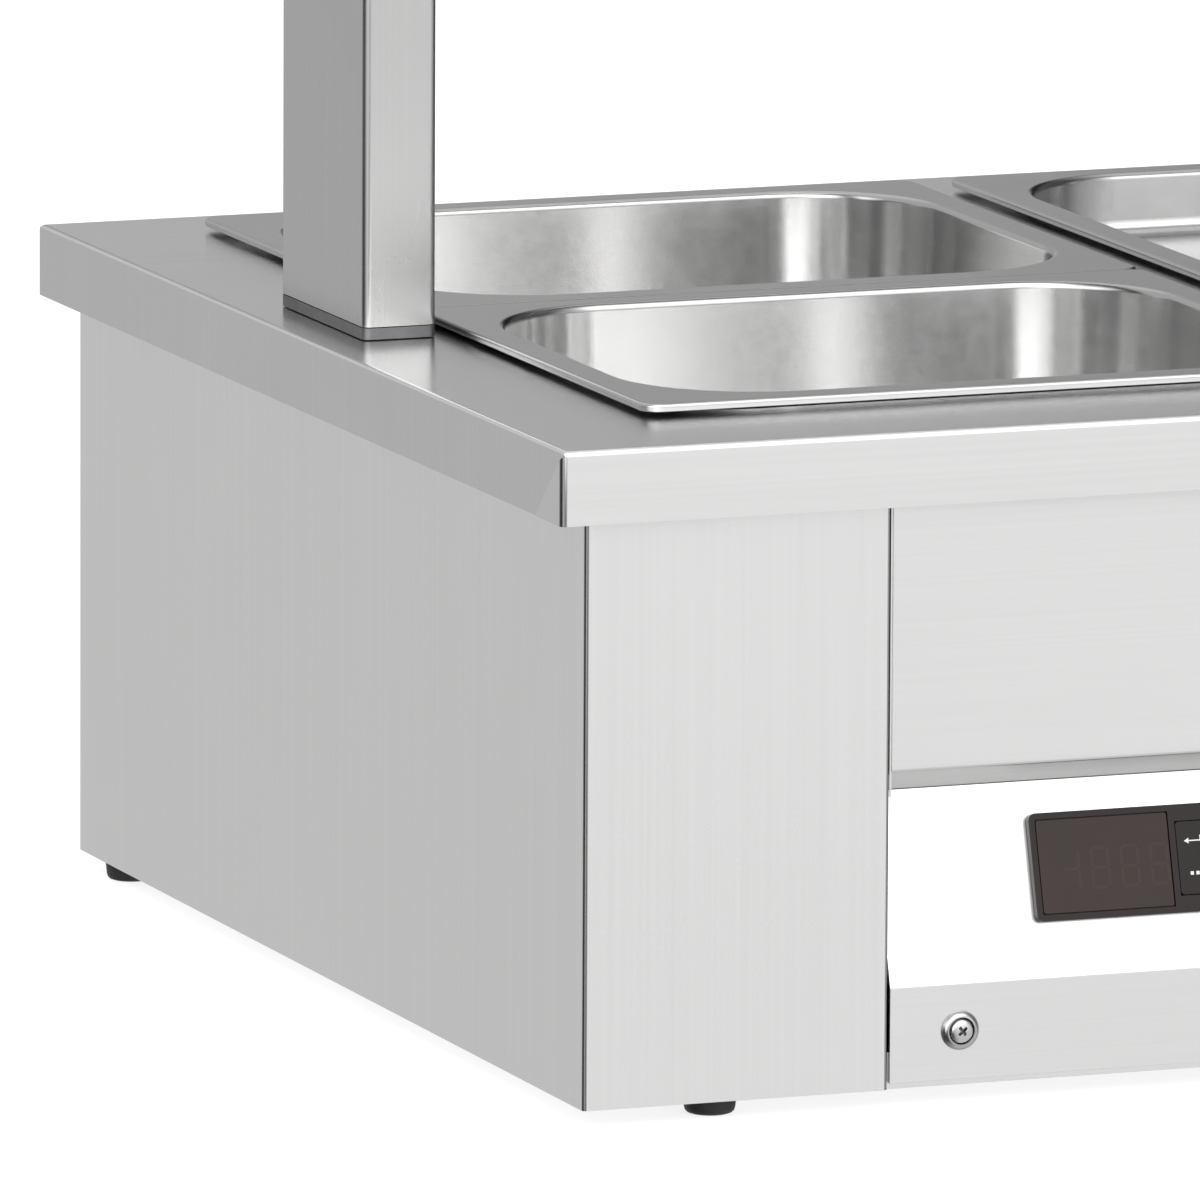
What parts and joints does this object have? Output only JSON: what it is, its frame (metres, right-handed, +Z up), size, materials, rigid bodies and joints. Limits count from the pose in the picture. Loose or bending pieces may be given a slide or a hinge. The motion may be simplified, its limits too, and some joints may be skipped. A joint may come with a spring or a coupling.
{
  "type": "steam table unit",
  "caption": "Counter-top stainless steam table: heated water well under lift-out pans, sloping front controls, and a gantry with heat lamps and a glass shelf.",
  "frame": {"origin": "middle of the unit on the plane of the soles of its feet", "axes": "+Z up, -Y towards the operator who faces the controls, +X to that operator's right, along the counter"},
  "size_m": [1.13, 0.631, 0.7243],
  "materials": {
    "brushed_steel": "satin brushed stainless sheet",
    "polished_steel": "bright drawn stainless",
    "dark_trim": "matt dark grey",
    "rubber": "matt black",
    "mineral_wool": "fibrous",
    "heating_rod": "oxidised dark sheath",
    "brass": "satin",
    "red_vinyl": "soft matt",
    "bezel_plastic": "semi-gloss dark brown",
    "smoked_window": "gloss smoked",
    "key_plastic": "matt",
    "black_plastic": "fine grained",
    "green_rocker": "gloss",
    "ivory_plastic": "matt",
    "reflector": "bright",
    "quartz": "clear gloss",
    "shelf_glass": "clear toughened"
  },
  "bodies": {
    "cabinet": {"countertop": "brushed_steel", "side_panel_left": "brushed_steel", "side_panel_right": "brushed_steel", "front_fascia": "brushed_steel", "control_panel": "brushed_steel", "rear_panel": "brushed_steel", "base_tray": "brushed_steel", "drain_recess": "brushed_steel", "post_left": "brushed_steel", "post_right": "brushed_steel", "post_anchor_left": "brushed_steel", "post_anchor_right": "brushed_steel", "lamp_hood": "brushed_steel", "shelf_support_left": "brushed_steel", "shelf_support_right": "brushed_steel", "well_tank": "polished_steel", "drain_pipe": "polished_steel", "temperature_probe": "polished_steel", "cup_washer_left": "polished_steel", "cup_washer_right": "polished_steel", "panel_screw_left": "polished_steel", "panel_screw_right": "polished_steel", "post_foot_left": "dark_trim", "post_foot_right": "dark_trim", "rubber_foot_front_left": "rubber", "rubber_foot_front_right": "rubber", "rubber_foot_rear_left": "rubber", "rubber_foot_rear_right": "rubber", "well_insulation": "mineral_wool", "heating_element_left": "heating_rod", "heating_element_middle": "heating_rod", "heating_element_right": "heating_rod", "drain_valve_body": "brass", "controller_housing": "bezel_plastic", "controller_window": "smoked_window", "heat_switch_housing": "black_plastic", "lamp_switch_housing": "black_plastic", "cable_gland": "black_plastic", "safety_thermostat": "black_plastic", "terminal_block": "ivory_plastic", "power_relay": "ivory_plastic", "lamp_reflector": "reflector", "heat_lamp_left": "quartz", "heat_lamp_right": "quartz", "glass_shelf": "shelf_glass"},
    "pan_front_left_body": {"pan_front_left": "polished_steel"},
    "pan_rear_left_body": {"pan_rear_left": "polished_steel"},
    "pan_middle_body": {"pan_middle": "polished_steel"},
    "pan_right_body": {"pan_right": "polished_steel"},
    "key_down_body": {"key_down": "key_plastic"},
    "key_standby_body": {"key_standby": "key_plastic"},
    "key_set_body": {"key_set": "key_plastic"},
    "key_up_body": {"key_up": "key_plastic"},
    "heat_rocker": {"heat_switch_rocker": "green_rocker"},
    "lamp_rocker": {"lamp_switch_rocker": "black_plastic"},
    "drain_handle": {"drain_valve_ball": "polished_steel", "drain_valve_stem": "polished_steel", "drain_valve_lever": "brushed_steel", "drain_valve_grip": "red_vinyl"}
  },
  "joints": [
    {"name": "pan_front_left_lift", "type": "slide", "parent": "cabinet", "child": "pan_front_left_body", "axis": [0, 0, 1], "range_m": [0, 0.15]},
    {"name": "pan_rear_left_lift", "type": "slide", "parent": "cabinet", "child": "pan_rear_left_body", "axis": [0, 0, 1], "range_m": [0, 0.15]},
    {"name": "pan_middle_lift", "type": "slide", "parent": "cabinet", "child": "pan_middle_body", "axis": [0, 0, 1], "range_m": [0, 0.15]},
    {"name": "pan_right_lift", "type": "slide", "parent": "cabinet", "child": "pan_right_body", "axis": [0, 0, 1], "range_m": [0, 0.15]},
    {"name": "key_down_press", "type": "slide", "parent": "cabinet", "child": "key_down_body", "axis": [0, 0.9614, -0.2751], "range_m": [0, 0.0006], "stiffness_N_per_m": 800, "springref_m": -0.0003},
    {"name": "key_standby_press", "type": "slide", "parent": "cabinet", "child": "key_standby_body", "axis": [0, 0.9614, -0.2751], "range_m": [0, 0.0006], "stiffness_N_per_m": 800, "springref_m": -0.0003},
    {"name": "key_set_press", "type": "slide", "parent": "cabinet", "child": "key_set_body", "axis": [0, 0.9614, -0.2751], "range_m": [0, 0.0006], "stiffness_N_per_m": 800, "springref_m": -0.0003},
    {"name": "key_up_press", "type": "slide", "parent": "cabinet", "child": "key_up_body", "axis": [0, 0.9614, -0.2751], "range_m": [0, 0.0006], "stiffness_N_per_m": 800, "springref_m": -0.0003},
    {"name": "heat_switch_rock", "type": "hinge", "parent": "cabinet", "child": "heat_rocker", "pos_m": [-0.205, -0.2896, 0.09136], "axis": [1, 0, 0], "range_deg": [-20, 0]},
    {"name": "lamp_switch_rock", "type": "hinge", "parent": "cabinet", "child": "lamp_rocker", "pos_m": [-0.165, -0.2896, 0.09136], "axis": [1, 0, 0], "range_deg": [-20, 0]},
    {"name": "drain_valve_turn", "type": "hinge", "parent": "cabinet", "child": "drain_handle", "pos_m": [0.43, 0.256, 0.058], "axis": [0, 0, 1], "range_deg": [0, 90]}
  ]
}
